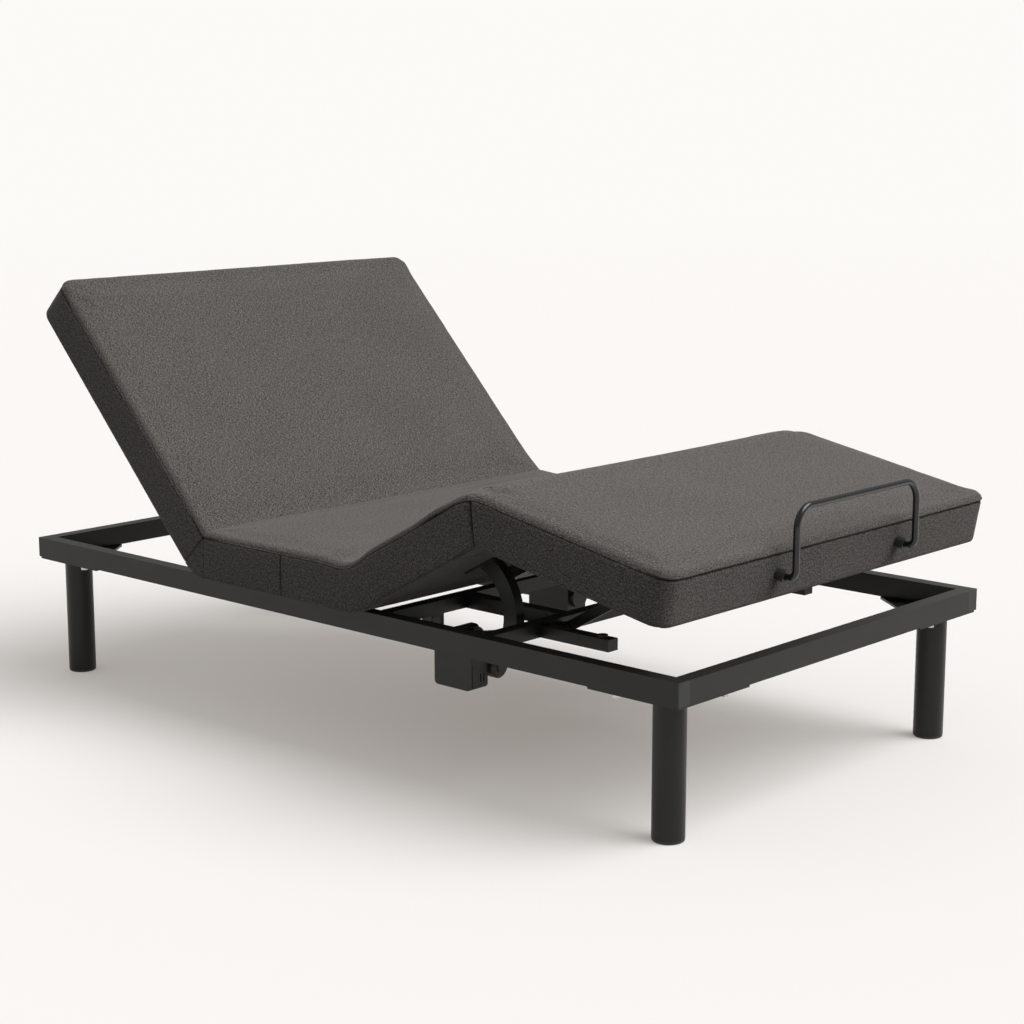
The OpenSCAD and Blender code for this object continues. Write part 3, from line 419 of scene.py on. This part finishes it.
def seamed(piece, seed, seams=()):
    """Draws the welted seam in, with the puckers that its stitches pull, marks the seam's groove
    for painted shade, and smooths the mesh.
    """
    seam_w, seam_down = 0.0019, 0.0034
    lip_w, lip_off, lip_up = 0.0024, 0.0042, 0.0013
    pucker, wave = 0.0009, 0.0008
    smooth = piece.modifiers.new("smooth", "SUBSURF")
    smooth.levels = smooth.render_levels = 1
    smooth.subdivision_type = "SIMPLE"
    shown = piece.evaluated_get(bpy.context.evaluated_depsgraph_get())
    mesh = bpy.data.meshes.new_from_object(shown)
    piece.modifiers.remove(smooth)
    piece.data = mesh
    mesh.materials.clear()
    mesh.materials.append(cloth_finish)
    for face in mesh.polygons:
        face.use_smooth = True
    p = points_of(piece)
    n = np.empty(len(p) * 3)
    mesh.vertices.foreach_get("normal", n)
    n = n.reshape(-1, 3)
    lift = p[:, 2] - deck_low - seam_height
    wall = np.clip(1 - np.abs(n[:, 2]) * 1.15, 0, 1)
    line = np.exp(-(lift / seam_w) ** 2) * wall
    lip = np.exp(-((lift - lip_off) / lip_w) ** 2) * wall
    beside = np.clip((np.abs(p[:, 1]) - half_width + 0.02) / 0.01, 0, 1) * wall * (lift < 0.001)
    for at in seams:
        line = np.maximum(line, np.exp(-((p[:, 0] - at) / seam_w) ** 2) * beside)
        lip = np.maximum(lip, np.exp(-((p[:, 0] - at - lip_off) / lip_w) ** 2) * beside)
    move = lip_up * lip - seam_down * line
    for i, at in enumerate(p):
        spot = Vector((at[0] * 34 + seed, at[1] * 34, at[2] * 12))
        slow = Vector((at[0] * 5 + seed, at[1] * 5, at[2] * 7))
        close = math.exp(-abs(lift[i]) / 0.014)
        upper = min(1.0, max(0.0, (lift[i] + seam_height) / 0.012))
        move[i] += (pucker * noise.noise(spot) * close + wave * noise.noise(slow)) * upper
    # The groove's mask is stored for the cloth material, which paints shade with it.
    seam = mesh.attributes.new("seam", "FLOAT", "POINT")
    seam.data.foreach_set("value", np.clip(line * 1.1, 0, 1).astype(np.float32))
    mesh.vertices.foreach_set("co", (p + n * move[:, None]).ravel())
    mesh.update()


def turned(p, pivot, angle, weight):
    """Points turned about a pivot by a share of an angle; a positive one lifts the foot side."""
    c, s = np.cos(angle * weight), np.sin(angle * weight)
    dx, dz = p[:, 0] - pivot[0], p[:, 2] - pivot[1]
    out = p.copy()
    out[:, 0], out[:, 2] = pivot[0] + dx * c - dz * s, pivot[1] + dx * s + dz * c
    return out


def bent(piece, pivot, angle, carry, start, end):
    """Bends a flat cover over a hinge so that its blend, from start to end, lays it flat again."""
    flat = points_of(piece)
    start, along = np.array(start), np.array(end) - np.array(start)
    weight = (flat[:, 0] > pivot[0]).astype(float)
    for _ in range(80):
        now = carry(turned(flat, pivot, angle, weight))
        share = np.clip((now[:, [0, 2]] - start) @ along / (along @ along), 0, 1)
        weight = 0.5 * weight + 0.5 * share * share * (3 - 2 * share)
    now = carry(turned(flat, pivot, angle, weight))
    now[:, 0] += x0
    piece.data.vertices.foreach_set("co", now.ravel())
    piece.data.update()


def still(p):
    return p


def with_thigh(p):
    return turned(p, seat_pivot, thigh_angle, 1.0)


# Head cover: the longest section, square-cornered at the crease and rounded at the pillow end.
head_cover = flat_cover("cover_head", -0.990, -0.3006, True, False, 0, 0.004)
filled(head_cover)
seamed(head_cover, 3.0)
lifted = turned(points_of(head_cover), head_pivot, -head_angle, 1.0)
lifted[:, 0] += x0
head_cover.data.vertices.foreach_set("co", lifted.ravel())
head_cover.data.update()
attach(head_cover, "head_section")
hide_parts("pad_head")

# Crease gusset: a strip of stretch cloth sewn between the head and seat covers. It opens as a fan
# below the crease when the head rises and folds away between the sections when it lies flat; here
# it is drawn once, opened as a fan for the raised head.
gusset_rings, gusset_steps, gusset_columns = 12, 16, 100
gusset_inset, gusset_start, gusset_gap = 0.0016, 0.004, 0.002
lining_side, lining_t = 0.004, 0.003
reach = head_pivot[1] - deck_low
edge, outer_r = half_width - gusset_inset, reach - gusset_gap
climb = [gusset_start + (outer_r - gusset_start) * k / gusset_rings
         for k in range(gusset_rings + 1)]
profile = [(-edge, r) for r in climb]
profile += [(-edge + 2 * edge * k / gusset_columns, outer_r) for k in range(1, gusset_columns)]
profile += [(edge, r) for r in reversed(climb)]
lining = [(y * (1 - lining_side / half_width), max(r - lining_t, 0.001)) for y, r in profile]
form = bmesh.new()
uv = form.loops.layers.uv.new("cloth")
rows = []
for step in range(gusset_steps + 1):
    opened = head_angle * step / gusset_steps
    for layer in (profile, lining):
        rows.append([form.verts.new((head_pivot[0] + x0 - r * math.sin(opened), y,
                                     head_pivot[1] - r * math.cos(opened))) for y, r in layer])
count = len(profile)
for step in range(gusset_steps):
    o0, i0, o1, i1 = rows[2 * step], rows[2 * step + 1], rows[2 * step + 2], rows[2 * step + 3]
    for k in range(count - 1):
        for ring in ((o0[k], o0[k + 1], o1[k + 1], o1[k]), (i0[k], i1[k], i1[k + 1], i0[k + 1])):
            face = form.faces.new(ring)
            for loop in face.loops:
                loop[uv].uv = (loop.vert.co.x, loop.vert.co.y + loop.vert.co.z)
    form.faces.new((o0[0], o1[0], i1[0], i0[0]))
    form.faces.new((o0[-1], i0[-1], i1[-1], o1[-1]))
for first, ring in ((True, rows[:2]), (False, rows[-2:])):
    for k in range(count - 1):
        quad = (ring[0][k], ring[1][k], ring[1][k + 1], ring[0][k + 1])
        form.faces.new(quad if first else quad[::-1])
bmesh.ops.recalc_face_normals(form, faces=form.faces)
mesh = bpy.data.meshes.new("crease_gusset")
form.to_mesh(mesh)
form.free()
mesh.materials.append(cloth_finish)
for face in mesh.polygons:
    face.use_smooth = True
gusset = bpy.data.objects.new("crease_gusset", mesh)
bpy.context.collection.objects.link(gusset)
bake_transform(gusset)

# Seat cover: one cover from the crease over the fixed seat and the lap bend almost to the knee,
# pieced on its boxing beside the hips.
hip_seam = -0.058
seat_cover = flat_cover("cover_seat", -0.2994, 0.4297, False, False, 0.004, 0.0004, (hip_seam,))
filled(seat_cover)
seamed(seat_cover, 23.0, (hip_seam,))
bend_from = (0.070, 0.356)
bend_to = (0.212, 0.392)
bent(seat_cover, seat_pivot, thigh_angle, still, bend_from, bend_to)
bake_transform(seat_cover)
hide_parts("pad_seat", "pad_lap", "pad_thigh")

# Foot cover: rounds over the knee, where its boxing is pieced, and hangs down to the foot end.
knee_seam = knee_pivot[0] + 0.002
foot_cover = flat_cover("cover_foot", 0.4303, 0.939, False, True, 0.0004, 0, (knee_seam,))
filled(foot_cover)
seamed(foot_cover, 37.0, (knee_seam,))
knee_at = with_thigh(np.array([[knee_pivot[0], 0, knee_pivot[1]]]))[0]
tilt = thigh_angle - knee_angle / 2
round_half = 0.066
knee_x, knee_z = float(knee_at[0]), float(knee_at[2])
side_x, side_z = round_half * math.cos(tilt), round_half * math.sin(tilt)
over_from = (knee_x - side_x, knee_z - side_z)
over_to = (knee_x + side_x, knee_z + side_z)
bent(foot_cover, knee_pivot, -knee_angle, with_thigh, over_from, over_to)
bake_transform(foot_cover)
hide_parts("pad_foot")

# --- Room --------------------------------------------------------------------------------------
# A white studio: a matt pale floor that runs into a white wall, one very large soft lamp high
# behind the foot end, and a dim even surround. Near the object the floor also glows faintly, a
# painted light that lifts the shadows on it. Floor and wall throw no light back on the object.
wall_white = (0.973, 0.957, 0.933)


def backdrop(at):
    """A pale floor near the object, with a faint glow of painted light that lifts its shadows, that
    turns into an evenly bright surround further away.
    """
    away = at.node("ShaderNodeVectorMath", {"operation": "LENGTH"}, {0: at}, output="Value")
    away = away.node("ShaderNodeMapRange", {"interpolation_type": "SMOOTHSTEP"},
                     {"Value": away, "From Min": 2.0, "From Max": 22.0})
    # Near the object the floor glows faintly: painted light that lifts the shadows cast on it.
    return {"Base Color": away.between((0.628, 0.634, 0.640), (0.0, 0.0, 0.0)),
            "Emission Color": away.between((0.265, 0.240, 0.219), wall_white)}


studio = finish_of("studio_white", "Object", {"Roughness": 0.95, "Specular IOR Level": 0.0,
                                              "Emission Strength": 1.0}, backdrop)
bpy.ops.mesh.primitive_circle_add(vertices=96, radius=30, fill_type="NGON", location=(0, 0, 0))
floor = bpy.context.object
bpy.ops.mesh.primitive_cylinder_add(vertices=96, radius=29.5, depth=40, end_fill_type="NOTHING",
                                    location=(0, 0, 19.9))
wall = bpy.context.object
for name, made in (("floor", floor), ("wall", wall)):
    made.name = name
    made.visible_diffuse = False
    made.data.materials.append(studio)
wall.visible_glossy = False
wall.visible_shadow = False

world = bpy.data.worlds.new("surround")
bpy.context.scene.world = world
world.use_nodes = True
surround = world.node_tree
sky = Wire(surround).node("ShaderNodeTexCoord", {}, {}, output="Generated")
height = sky.node("ShaderNodeSeparateXYZ", {}, {"Vector": sky}, output="Z")
shade = height.node("ShaderNodeMapRange", {"interpolation_type": "SMOOTHSTEP"},
                    {"Value": height, "From Min": -0.25, "From Max": 0.35,
                     "To Min": 0.10, "To Max": 0.44})
surround.links.new(shade.socket, surround.nodes["Background"].inputs["Strength"])
surround.nodes["Background"].inputs["Color"].default_value = (1.0, 0.995, 0.985, 1)

sun = bpy.data.lights.new("key", "SUN")
sun.energy = 2.7
sun.angle = math.radians(48)
sun.color = (1.0, 0.99, 0.975)
key = bpy.data.objects.new("key", sun)
key.rotation_euler = Vector((0.86, 0.52, 1.32)).to_track_quat("Z", "Y").to_euler()
bpy.context.collection.objects.link(key)

bpy.context.scene.view_settings.view_transform = "Standard"
view = bpy.data.cameras.new("view")
view.lens = 74.5
view.sensor_width = 36
view.clip_end = 100
camera = bpy.data.objects.new("view", view)
camera.location = (3.0527, -3.256, 1.2765)
camera.rotation_euler = (math.radians(90 - 10.84), 0, math.radians(42.48))
bpy.context.collection.objects.link(camera)
bpy.context.scene.camera = camera
